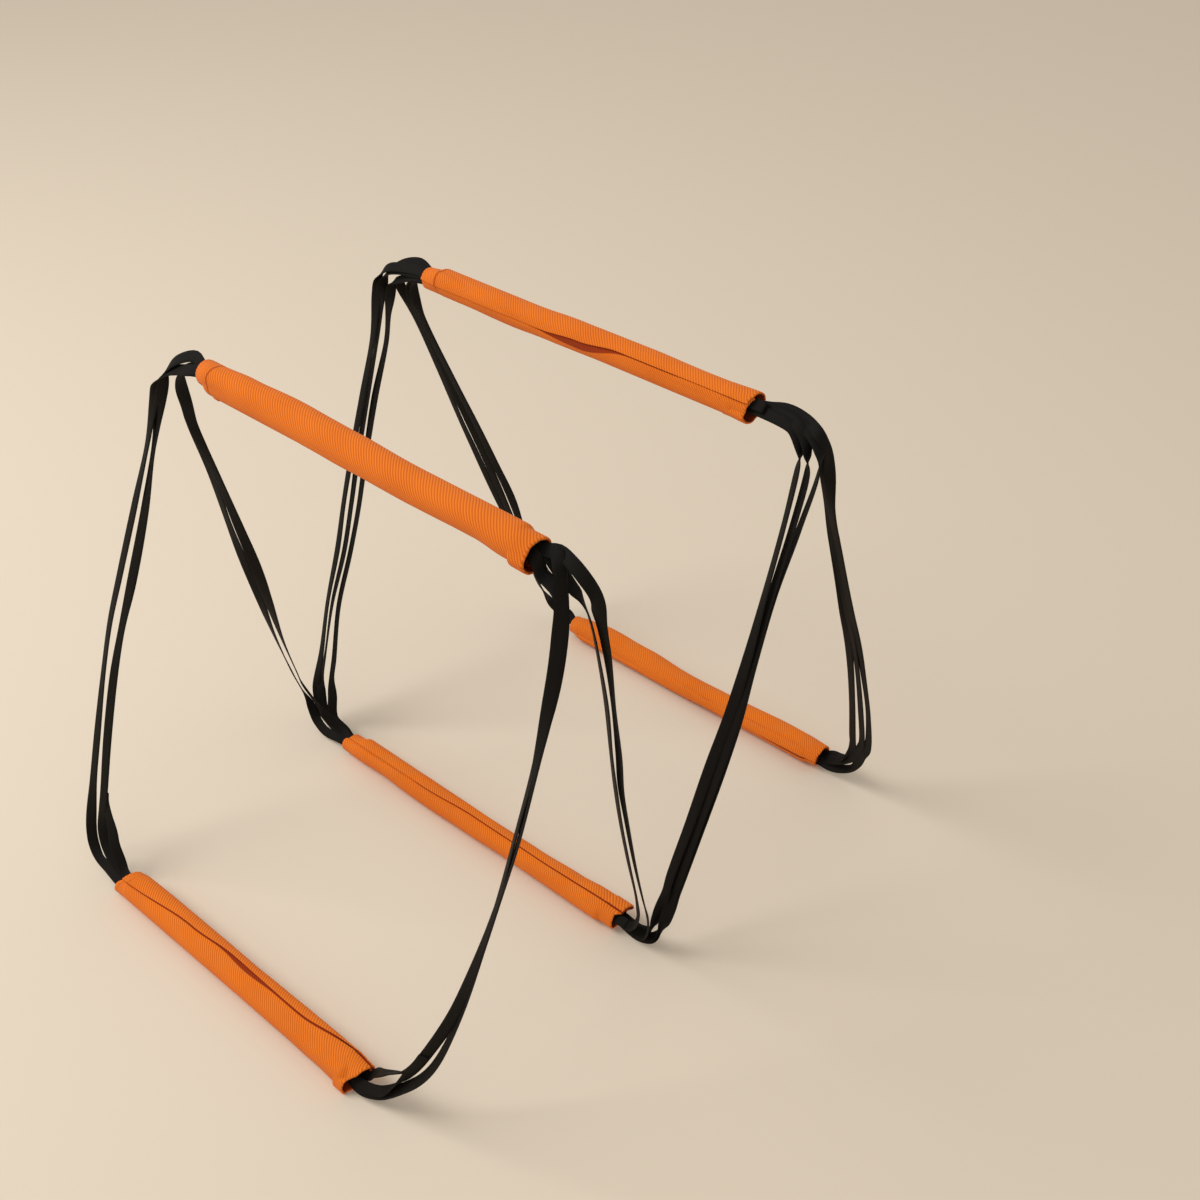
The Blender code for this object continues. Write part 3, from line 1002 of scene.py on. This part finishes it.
STRAPS: dict[tuple[int, Side], tuple[Strap, ...]] = {
    (1, Side.LEFT): (
        Strap(
            bows=(48, 54, 57, 55, 50, 46, 46),
            twists=(-10, -15, -10, 5, -15, -5, 20),
            low=((0, 3, 0), (20, 0, 12), (33, 0, 23), (41, 0, 36), (46, 0, 56)),
            high=((0, 4, 0), (14, 9, 0), (27, 3, 0), (36, 0, 5), (43, 0, 16), (45, 0, 34)),
        ),
        Strap(
            bows=(63, 67, 70, 70, 65, 58, 52),
            twists=(-10, 0, 15, 15, 10, 10, 20),
            low=((0, -4, 0), (24, -1, 0), (39, 0, 2), (50, 0, 13), (57, 0, 30)),
            high=((0, 1, 0), (12, -3, 0), (25, 0, 7), (38, 0, 13), (47, 0, 24), (51, 0, 42)),
        ),
    ),
    (2, Side.LEFT): (
        Strap(
            bows=(61, 61, 54, 49, 48, 47, 51),
            twists=(-25, -15, 25, 55, 35, 10, 35),
            low=((0, -1, 0), (20, 3, 2), (35, 0, 20), (43, 0, 31), (51, 0, 46), (61, 0, 68)),
            high=((0, 1, 0), (15, 1, 2), (30, 0, 10), (38, 0, 20), (43, 0, 34), (47, 0, 58)),
            edge_on=(True, False),
        ),
        Strap(
            bows=(77, 79, 74, 73, 69, 60, 55),
            twists=(-25, -10, 30, 20, 0, 10, 35),
            low=((0, -4, 0), (20, -6, 0), (40, -8, 0), (54, -5, 4), (64, 0, 18), (70, 0, 40)),
            high=((0, 1, 0), (16, -1, 2), (32, 0, 10), (40, 0, 20), (45, 0, 34), (49, 0, 58)),
            edge_on=(True, False),
        ),
    ),
    (3, Side.LEFT): (
        Strap(
            bows=(51, 56, 51, 49, 50, 50, 46),
            twists=(15, 20, 20, 20, 15, 5, 20),
            low=((0, -2, 0), (20, 4, 0), (38, 0, 10), (45, 0, 34), (50, 0, 54)),
            high=((0, -4, 0), (14, -6, 0), (36, 0, 14), (47, 0, 20), (49, 0, 31), (49, 0, 50)),
        ),
        Strap(
            bows=(63, 64, 58, 58, 59, 58, 57),
            twists=(35, 30, 20, 20, 15, 20, 25),
            low=((0, -3, 0), (24, 1, 0), (52, 0, 12), (60, 0, 28), (63, 0, 48)),
            high=((0, -1, 0), (14, -3, 0), (40, 0, 7), (53, 0, 12), (60, 0, 22), (60, 0, 40)),
        ),
        Strap(
            bows=(67, 69, 66, 67, 66, 63, 61),
            twists=(15, 25, 15, 20, 15, 10, 15),
            low=((0, -4, 0), (26, 0, 0), (56, 0, 12), (65, 0, 28), (68, 0, 46)),
            high=((0, -1, 0), (16, -1, 0), (41, 0, 5), (55, 0, 10), (63, 0, 20), (64, 0, 38)),
        ),
    ),
    (4, Side.LEFT): (
        Strap(
            bows=(35, 25, 18, 21, 25, 33, 40),
            twists=(-25, -10, 25, 15, 5, 0, 5),
            low=((0, 1, 0), (14, 5, 0), (20, 0, 14), (27, 0, 21), (32, 0, 38), (35, 0, 58)),
            high=((0, -4, 0), (16, -7, 0), (32, 0, 18), (38, 0, 32), (40, 0, 54)),
            edge_on=(True, False),
        ),
        Strap(
            bows=(39, 37, 37, 38, 40, 44, 47),
            twists=(-25, -10, 10, 15, 20, 15, 5),
            low=((0, 1, 0), (14, 6, 0), (21, 0, 14), (29, 0, 21), (36, 0, 38), (38, 0, 60)),
            high=((0, -4, 0), (18, -7, 0), (37, 0, 16), (44, 0, 30), (47, 0, 54)),
            edge_on=(True, False),
        ),
        Strap(
            bows=(45, 49, 53, 55, 57, 56, 57),
            twists=(-20, 0, 10, 5, -5, 0, 5),
            low=((0, 1, 0), (15, 7, 0), (22, 0, 13), (31, 0, 20), (40, 0, 38), (43, 0, 60)),
            high=((0, -4, 0), (20, -6, 0), (46, 0, 14), (58, 0, 24), (61, 0, 40), (60, 0, 60)),
            edge_on=(True, False),
        ),
    ),
    (1, Side.RIGHT): (
        Strap(
            bows=(50, 62, 64, 63, 61, 52, 42),
            twists=(-35, -20, 25, 40, 45, 20, -35),
            low=((0, -1, 0), (19, 0, 7), (33, 0, 29), (43, 0, 57)),
            high=((0, -6, 0), (7, 0, 15), (16, 0, 18), (24, 0, 22), (29, 0, 31), (35, 0, 52)),
        ),
        Strap(
            bows=(61, 66, 64, 61, 56, 50, 42),
            twists=(30, 40, 40, 40, 45, 30, -30),
            low=((0, -5, 0), (20, 0, 4), (41, 0, 32), (53, 0, 54)),
            high=((0, 2, 0), (11, 3, 0), (17, 0, 4), (22, 0, 14), (28, 0, 28), (35, 0, 50)),
            edge_on=(True, False),
        ),
    ),
    (2, Side.RIGHT): (
        Strap(
            bows=(39, 36, 35, 35, 39, 42, 44),
            twists=(-35, -30, -25, -20, -20, -30, -10),
            low=((0, 2, 0), (22, -1, 0), (34, 0, 4), (40, 0, 26), (41, 0, 55)),
            high=((0, 2, 0), (10, 5, 0), (24, 2, 0), (35, 0, 6), (42, 0, 18), (43, 0, 45)),
            edge_on=(True, False),
        ),
        Strap(
            bows=(33, 31, 30, 31, 33, 37, 37),
            twists=(-35, -30, -30, -30, -35, -30, -35),
            low=((0, 4, 0), (16, 0, 4), (27, 0, 24), (32, 0, 55)),
            high=((0, 2, 0), (12, 0, 10), (23, 0, 23), (29, 0, 29), (33, 0, 39), (36, 0, 57)),
            edge_on=(True, True),
        ),
    ),
    (3, Side.RIGHT): (
        Strap(
            bows=(43, 47, 51, 55, 56, 55, 54),
            twists=(10, 5, -15, -20, 5, 35, 40),
            low=((0, 5, 0), (26, 4, 0), (38, 0, 12), (40, 0, 30), (43, 0, 56)),
            high=((0, 0, 0), (28, -1, 0), (38, 0, 3), (45, 0, 9), (51, 0, 19), (52, 0, 32)),
            edge_on=(False, True),
        ),
        Strap(
            bows=(51, 55, 59, 61, 60, 60, 61),
            twists=(0, 15, 5, 0, 5, 25, 30),
            low=((0, 3, 0), (24, 1, 0), (39, 0, 4), (46, 0, 17), (48, 0, 38), (50, 0, 62)),
            high=((0, 2, 0), (30, 4, 0), (43, 0, 0), (52, 0, 8), (56, 0, 17), (60, 0, 30)),
            edge_on=(False, True),
        ),
        Strap(
            bows=(53, 57, 61, 63, 62, 62, 66),
            twists=(15, 15, 15, 25, 35, 40, 40),
            low=((0, 1, 0), (26, -2, 0), (41, 0, 4), (48, 0, 17), (50, 0, 38), (52, 0, 62)),
            high=((0, 4, 0), (30, 5, 0), (45, 2, 0), (57, 0, 3), (65, 0, 11), (69, 0, 26)),
            edge_on=(False, True),
        ),
    ),
    (4, Side.RIGHT): (
        Strap(
            bows=(45, 51, 56, 58, 59, 59, 58),
            twists=(-15, -20, -15, 0, 40, 40, -10),
            low=((0, 6, 0), (10, 7, 6), (22, 3, 17), (33, 0, 30), (41, 0, 46), (44, 0, 64)),
            high=((0, 5, 0), (22, 9, 0), (42, 6, 0), (57, 0, -1), (62, 0, 13), (61, 0, 34)),
        ),
        Strap(
            bows=(57, 62, 65, 65, 63, 61, 61),
            twists=(-25, -25, -30, -25, -10, 5, -10),
            low=((0, 2, 0), (20, 0, 15), (38, 0, 34), (47, 0, 48), (53, 0, 64)),
            high=((0, 4, 0), (23, 9, 0), (43, 7, 0), (59, 0, -2), (65, 0, 12), (64, 0, 32)),
            edge_on=(True, False),
        ),
        Strap(
            bows=(65, 72, 73, 72, 69, 66, 64),
            twists=(-15, -30, -25, -15, -20, -20, -10),
            low=((0, -2, 0), (14, -2, 0), (34, 0, 10), (49, 0, 36), (58, 0, 60)),
            high=((0, 3, 0), (24, 10, 0), (44, 8, 0), (61, 0, -2), (67, 0, 12), (67, 0, 32)),
            edge_on=(True, False),
        ),
    ),
}

SPARES: dict[tuple[int, Side], Spare] = {
    (1, Side.LEFT): Spare(
        end=((0, 8, 0), (8, 7, 10), (19, 0, 31), (27, 0, 43), (38, 0, 58), (46, 0, 72), (48, 0, 82)),
        level=3.5,
        twist=-10,
    ),
    (1, Side.RIGHT): Spare(
        end=((0, 8, 0), (6, 7, 10), (14, 0, 27), (26, 0, 39), (38, 0, 50), (46, 0, 66), (50, 0, 82)),
        level=-3.5,
        twist=-35,
    ),
    (3, Side.LEFT): Spare(
        end=((0, -1, 0), (10, 4, 0), (24, 8, 0), (38, 4, 0), (50, 0, 4), (61, 0, 16), (64, 0, 36)),
        level=-4,
        twist=15,
        top=True,
    ),
}
SPARE_SHARE = 0.65  # of a layer, between a spare strand and the strap that it ends under


@dataclass(frozen=True)
class StrapSet:
    """The straps of one span at one side."""

    span: Span
    side: Side
    band: Band = Band()

    def order(self, number: int) -> float:
        """Return a strap's place among its set's layers, counted off the tent from the middle."""
        count = len(STRAPS[self.span.number, self.side])
        return ((count - 1) / 2 - number) * self.side.value

    def stacked(self, rung: Rung, number: int) -> float:
        """Return how far up the stack of webbing in a rung's mouth a strap lies."""
        ahead = self.span.number == rung.number
        other = self.span.number + (-1 if ahead else 1)
        beside = len(STRAPS.get((other, self.side), ()))
        within = self.order(number) * math.copysign(1, -self.span.outward.y)
        return (within + (-beside if ahead else beside) / 2) * STACKED

    def end_knots(
        self,
        places: Sequence[Place],
        twist: float,
        top: bool,
        level: float,
        layer: float,
        edge_on: bool = False,
    ) -> list[Vector]:
        """Lay out the knots of one end, from inside the sleeve away.

        Args:
            places: How far out, up the mouth's tilt and along the span each is, in millimetres.
            twist: The twist away from the mouth, in degrees.
            top: Whether this is the end at the upper rung.
            level: How far to the front it lies in the mouth.
            layer: How far off the tent it lies away from the mouth.
            edge_on: Whether it turns through the way in which it is seen edge on.

        Returns:
            Knots of the place and the turn.
        """
        rung = self.span.upper if top else self.span.lower
        near, far = FACING * level, self.span.outward * layer
        upright = math.copysign(90, -self.span.outward.y if edge_on else self.span.outward.y)
        turned = EDGE_ON_HEIGHT if edge_on else HUB_HEIGHT
        spot = rung.mouth(self.side, -TUCK_IN) + WIDE * places[0][1] * MM * TUCKED_SHARE + near
        knots = [Vector((*spot, math.radians(upright) * TURN_SCALE))]
        for out, wide, up in (Vector(place) * MM for place in places):
            height = self.span.length - up if top else up
            turn = eased((abs(up) - HUB_FLAT) / (turned - HUB_FLAT))
            turn = math.radians(upright + (twist - upright) * turn)
            spot = self.span.place(self.side, height, out) + WIDE * wide
            spot += near.lerp(far, eased(abs(up) / HUB_HEIGHT))
            knots.append(Vector((*spot, turn * TURN_SCALE)))
        return knots

    def path(self, strap: Strap, number: int) -> list[tuple[Vector, Vector]]:
        """Find the whole run of one strap.

        Args:
            strap: The strap.
            number: Its number, from the innermost.

        Returns:
            Middles in order, each with the direction of the width.
        """
        layer = self.order(number) * LAYER
        low, high = (self.stacked(rung, number) for rung in (self.span.lower, self.span.upper))
        thin_low, thin_high = strap.edge_on
        knots = self.end_knots(strap.low, strap.twists[0], False, low, layer, thin_low)
        for share, bow, twist in zip(BOW_SHARES, strap.bows, strap.twists):
            spot = self.span.place(self.side, share * self.span.length, bow * MM, layer)
            knots.append(Vector((*spot, math.radians(twist) * TURN_SCALE)))
        knots += reversed(
            self.end_knots(strap.high, strap.twists[-1], True, high, layer, thin_high)
        )
        return self.bent(knots)

    def bent(self, knots: Sequence[Vector]) -> list[tuple[Vector, Vector]]:
        """Follow knots of the place and the turn, as middles with the width's direction."""
        return [(point.xyz, self.width_at(point)) for point in bent_through(knots, self.band.step)]

    def width_at(self, point: Vector) -> Vector:
        """Return the direction of the strap's width at a point of place and turn."""
        turn = point.w / TURN_SCALE
        outward = self.span.outward
        level = WIDE * math.copysign(1, outward.y)
        below = point.z - self.span.lower.centre.z
        above = self.span.upper.centre.z - point.z
        risen = eased(max(0.0, min(below, above)) / HUB_HEIGHT)
        off = level.lerp(outward, risen).normalized()
        return X_AXIS * math.cos(turn) + off * math.sin(turn)

    def build(self, finish: bpy.types.Material) -> list[bpy.types.Object]:
        """Make every strap in two halves, one at each rung.

        Args:
            finish: The webbing.

        Returns:
            The pieces.
        """
        pieces = []
        lower, upper = self.span.lower, self.span.upper
        name = f"span_{self.span.number}_{self.side.name.lower()}"
        for number, strap in enumerate(STRAPS[self.span.number, self.side]):
            path = self.path(strap, number)
            half = len(path) // 2
            node = f"{name}_strap_{number + 1}"
            pieces += [
                self.hung(path[: half + 1], lower, f"{node}_lower", node, finish),
                self.hung(path[half:], upper, f"{node}_upper", node, finish),
            ]
        spare = SPARES.get((self.span.number, self.side))
        if spare:
            layer = self.order(-SPARE_SHARE) * LAYER
            level = spare.level * MM
            path = self.bent(self.end_knots(spare.end, spare.twist, spare.top, level, layer))
            rung = upper if spare.top else lower
            pieces.append(self.hung(path, rung, f"{name}_spare", f"{name}_strap_1", finish))
        return pieces

    def hung(
        self,
        path: Sequence[tuple[Vector, Vector]],
        rung: Rung,
        name: str,
        node: str,
        finish: bpy.types.Material,
    ) -> bpy.types.Object:
        """Make one piece of webbing that runs from a rung to the span.

        Args:
            path: Its middles in order, each with the direction of the width.
            rung: The rung that it comes out of.
            name: The piece's name.
            node: The solid strap that it stands for.
            finish: The webbing.

        Returns:
            The piece.
        """
        piece = finished(self.band.sweep(path), name, finish)
        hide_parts(node)
        other = self.span.lower if rung is self.span.upper else self.span.upper
        ahead = rung.away(other.centre).normalized()
        start, end = (rung.centre + ahead * reach for reach in BENDING)
        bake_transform(piece)
        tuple(start)
        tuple(end)
        return piece


@dataclass(frozen=True)
class Loop:
    """A fold of webbing that comes out of a mouth and goes back in."""

    reach: float
    across: float
    level: float  # towards the front


LOOPS = {
    (3, Side.RIGHT): Loop(14 * MM, 2 * MM, 5 * MM),
    (4, Side.RIGHT): Loop(10 * MM, 3 * MM, 6 * MM),
}


@dataclass(frozen=True)
class Core:
    """The webbing that runs on through one rung's tube, and its loops at the mouths.

    Levels are how far towards the front its layers lie.
    """

    rung: Rung
    levels: tuple[float, ...] = (-2.4 * MM, 0.0, 2.4 * MM)
    lap: float = 1.0 * MM  # by which the layers' ends lap those of the straps
    band: Band = Band()
    bend: float = 1.2 * MM  # radius of a loop's end
    layer_steps: int = 12
    loop_steps: int = 10
    bend_steps: int = 6

    def straight(self, level: float) -> bmesh.types.BMesh:
        """Make one layer from mouth to mouth."""
        left, right = (self.rung.mouth(side, self.lap - TUCK_IN) + FACING * level for side in Side)
        shares = spaced((0.0, 1.0), (self.layer_steps,))
        return self.band.sweep([(left.lerp(right, share), WIDE) for share in shares])

    def looped(self, side: Side, loop: Loop) -> bmesh.types.BMesh:
        """Make one loop, out of a mouth and back."""
        reach = loop.reach - self.bend
        outs = spaced((-TUCK_IN, reach), (self.loop_steps,))[:-1]
        turns = spaced((-math.pi / 2, math.pi / 2), (self.bend_steps,))
        runs = [(out, -self.bend) for out in outs]
        runs += [(reach + self.bend * math.cos(turn), self.bend * math.sin(turn)) for turn in turns]
        runs += [(out, self.bend) for out in reversed(outs)]
        middles = [
            self.rung.mouth(side, out) + WIDE * loop.across + FACING * (loop.level + off)
            for out, off in runs
        ]
        return self.band.sweep([(middle, WIDE) for middle in middles])

    def build(self, finish: bpy.types.Material) -> bpy.types.Object:
        """Make the layers and the loops as one piece.

        Args:
            finish: The webbing.

        Returns:
            The piece, riding on its rung.
        """
        joined = bmesh.new()
        mesh = bpy.data.meshes.new("layer")
        number = self.rung.number
        layers = [self.straight(level) for level in self.levels]
        layers += [self.looped(side, loop) for (at, side), loop in LOOPS.items() if at == number]
        for work in layers:
            work.to_mesh(mesh)
            work.free()
            joined.from_mesh(mesh)
        bpy.data.meshes.remove(mesh)
        piece = finished(joined, f"rung_{number}_core", finish)
        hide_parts(f"rung_{number}_webbing")
        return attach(piece, f"rung_{number}")


@dataclass(frozen=True)
class Studio:
    """Floor, soft light and the camera."""

    floor_reach: float = 8.0
    sky: Colour = (1.0, 0.97, 0.93)
    sky_strength: float = 0.64
    lamp_place: Vector = Vector((-1.6, -1.4, 2.6))
    lamp_size: float = 1.6
    lamp_power: float = 56.0
    camera_place: Vector = Vector((0.7570, -0.6865, 1.0950))
    camera_turn: tuple[float, float, float] = (51.95, 0.0, 40.82)  # degrees
    lens: float = 43.5  # millimetres, as is the sensor
    sensor: float = 36.0

    def build(self) -> None:
        """Set everything up."""
        self.lay_floor()
        self.light()
        self.aim()

    def lay_floor(self) -> None:
        """Lay the plain floor."""
        work = bmesh.new()
        bmesh.ops.create_grid(work, x_segments=1, y_segments=1, size=self.floor_reach)
        finished(work, "floor", PaleFloor().make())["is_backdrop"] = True

    def light(self) -> None:
        """Hang one large lamp in an even sky."""
        world = bpy.data.worlds.new("sky")
        bpy.context.scene.world = world
        world.use_nodes = True
        background = world.node_tree.nodes["Background"]
        background.inputs["Color"].default_value = (*self.sky, 1.0)
        background.inputs["Strength"].default_value = self.sky_strength
        data = bpy.data.lights.new("lamp", "AREA")
        data.size = self.lamp_size
        data.energy = self.lamp_power
        lamp = placed("lamp", data)
        lamp.location = self.lamp_place
        lamp.rotation_euler = (-self.lamp_place).to_track_quat("-Z", "Y").to_euler()
        bpy.context.scene.view_settings.view_transform = "Standard"

    def aim(self) -> None:
        """Put the camera where the photograph was taken from."""
        data = bpy.data.cameras.new("camera")
        data.lens = self.lens
        data.sensor_width = self.sensor
        camera = placed("camera", data)
        camera.location = self.camera_place
        camera.rotation_euler = tuple(map(math.radians, self.camera_turn))
        bpy.context.scene.camera = camera


def sleeves(rungs: dict[int, Rung]) -> list[Sleeve]:
    """List the five sleeves, each with its own seam, widths and mouths."""
    return [
        Sleeve(
            rungs[1],
            seam=((0.02, 113), (0.32, 80), (0.48, 67), (0.74, 71), (0.98, 40)),
            widths=(31, 31, 31, 30.5, 31, 32.5, 34, 35, 33),
            shifts=(1, 2.3, 3, 3.2, 3, 2.6, 2.5, 2, 1),
            mouths=(
                Mouth(flat=0.6, slant=8.0 * MM, slant_angle=205, stitched=True),
                Mouth(
                    flat=0.55, slant=6 * MM, slant_angle=20, hem_width=20 * MM, tab=3 * MM, tab_angle=205
                ),
            ),
            gape_shares=(0.40, 0.67),
            gape_width=2.4 * MM,
        ),
        Sleeve(
            rungs[2],
            seam=((0, 290),),
            widths=(22, 22.5, 26, 28.6, 28.4, 25.8, 24.7, 26.5, 27),
            shifts=(2.8, 2.4, 2.4, 2.1, 0.6, -1.2, -1.0, -2.5, -2.5),
            mouths=(
                Mouth(
                    flat=0.9, further=-5 * MM, hem=0.5 * MM, hem_width=23 * MM, line=1.0, stitched=True
                ),
                Mouth(flat=0.87, slant=1.8 * MM, slant_angle=45, tab=2.2 * MM, tab_angle=232),
            ),
            creases=(
                Crease(((0.08, 96), (0.46, 99)), depth=0.5 * MM, breadth=3.0),
                Crease(((0.10, 178), (0.5, 190)), depth=0.4 * MM, breadth=4.0),
            ),
        ),
        Sleeve(
            rungs[3],
            seam=((0, 122), (0.3, 118), (0.5, 101), (0.75, 99), (1, 90)),
            widths=(23, 24, 24.3, 28, 26.7, 24.6, 26.2, 29, 29.5),
            shifts=(-3, -2.5, -1.5, -1.4, -1.0, 1.5, 3.0, 4.0, 4.0),
            mouths=(
                Mouth(flat=1.0, tongue=6.0 * MM, tongue_angle=175),
                Mouth(flat=0.8, tongue=7.0 * MM, tongue_angle=55, hem=0.8 * MM),
            ),
            creases=(Crease(((0.06, 126), (0.2, 120)), depth=0.9 * MM, breadth=8.0),),
            shown_shares=(0.24, 1.1),
        ),
        Sleeve(
            rungs[4],
            seam=((0, 174), (0.40, 173), (0.52, 160), (0.64, 141), (1, 139)),
            widths=(22, 22.5, 24, 26.2, 27.6, 24.5, 24, 25, 27),
            shifts=(-3, -2.5, -2, -1.8, 0.3, 2.4, 1.5, 1.5, 1.5),
            mouths=(
                Mouth(flat=1.0, line=0.8, hem_width=20.0 * MM),
                Mouth(
                    flat=1.0, slant=1.8 * MM, hem_width=26.0 * MM, tab=2.4 * MM, tab_angle=235
                ),
            ),
            gape_shares=(0.36, 0.68),
            gape_width=8.0 * MM,
            shown_shares=(0.33, 0.84),
            creases=(
                Crease(((0.07, 106), (0.2, 139), (0.33, 170)), depth=1.2 * MM, breadth=9.0),
                Crease(((0.50, 150), (0.56, 138), (0.62, 118), (0.68, 96)), breadth=9.0),
            ),
        ),
        Sleeve(
            rungs[5],
            seam=((0, 225), (0.4, 222), (0.62, 188), (0.75, 176), (1, 168)),
            widths=(21, 25, 28.9, 30, 26, 28.3, 29.5, 29.2, 27),
            shifts=(0, 0.8, 2.4, 1, -0.4, 0.6, 2.4, 2.6, 2.4),
            mouths=(
                Mouth(flat=0.9, further=-2.0 * MM),
                Mouth(flat=0.95, slant=1.8 * MM, slant_angle=60, hem=0.3 * MM),
            ),
            gape_shares=(0.68, 1.15),
            gape_width=3.4 * MM,
            shown_shares=(0.66, 1.1),
            creases=(
                Crease(((0.14, 126), (0.37, 126), (0.5, 142), (0.59, 150)), breadth=5.0),
                Crease(((0.70, 138), (0.88, 127)), depth=0.9 * MM, breadth=5.0),
            ),
        ),
    ]


def dress_tubes(finish: bpy.types.Material) -> None:
    """Give the solid model's tubes their plastic."""
    for name, node in frame["nodes"].items():
        if name.endswith("_tube"):
            node.data.materials.clear()
            node.data.materials.append(finish)


def write_sizes() -> None:
    """Gather the solid model's box and this model's box as plain lists."""
    boxes = {"solid": SOLID_BOX, "shown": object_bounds()}
    plain = {name: [list(corner) for corner in box] for name, box in boxes.items()}


def main() -> None:
    """Build the ladder and its studio."""
    logging.basicConfig(level=logging.INFO, format="%(message)s")
    rungs = {number: Rung.found(number) for number in range(1, RUNG_COUNT + 1)}
    twill, webbing, thread = Twill().make(), Webbing().make(), Thread().make()
    dress_tubes(TubePlastic().make())
    for sleeve in sleeves(rungs):
        LOG.info("sleeve %s", sleeve.build(twill).name)
        if any(mouth.stitched for mouth in sleeve.mouths):
            LOG.info("hems %s", Stitches(sleeve).build(thread).name)
        LOG.info("core %s", Core(sleeve.rung).build(webbing).name)
    for number in range(1, RUNG_COUNT):
        pair = rungs[number], rungs[number + 1]
        lower, upper = sorted(pair, key=lambda rung: rung.raised)
        for side in Side:
            straps = StrapSet(Span(number, lower, upper), side).build(webbing)
            LOG.info("straps of span %d %s: %d pieces", number, side.name.lower(), len(straps))
    Studio().build()
    write_sizes()


if __name__ == "__main__":
    main()
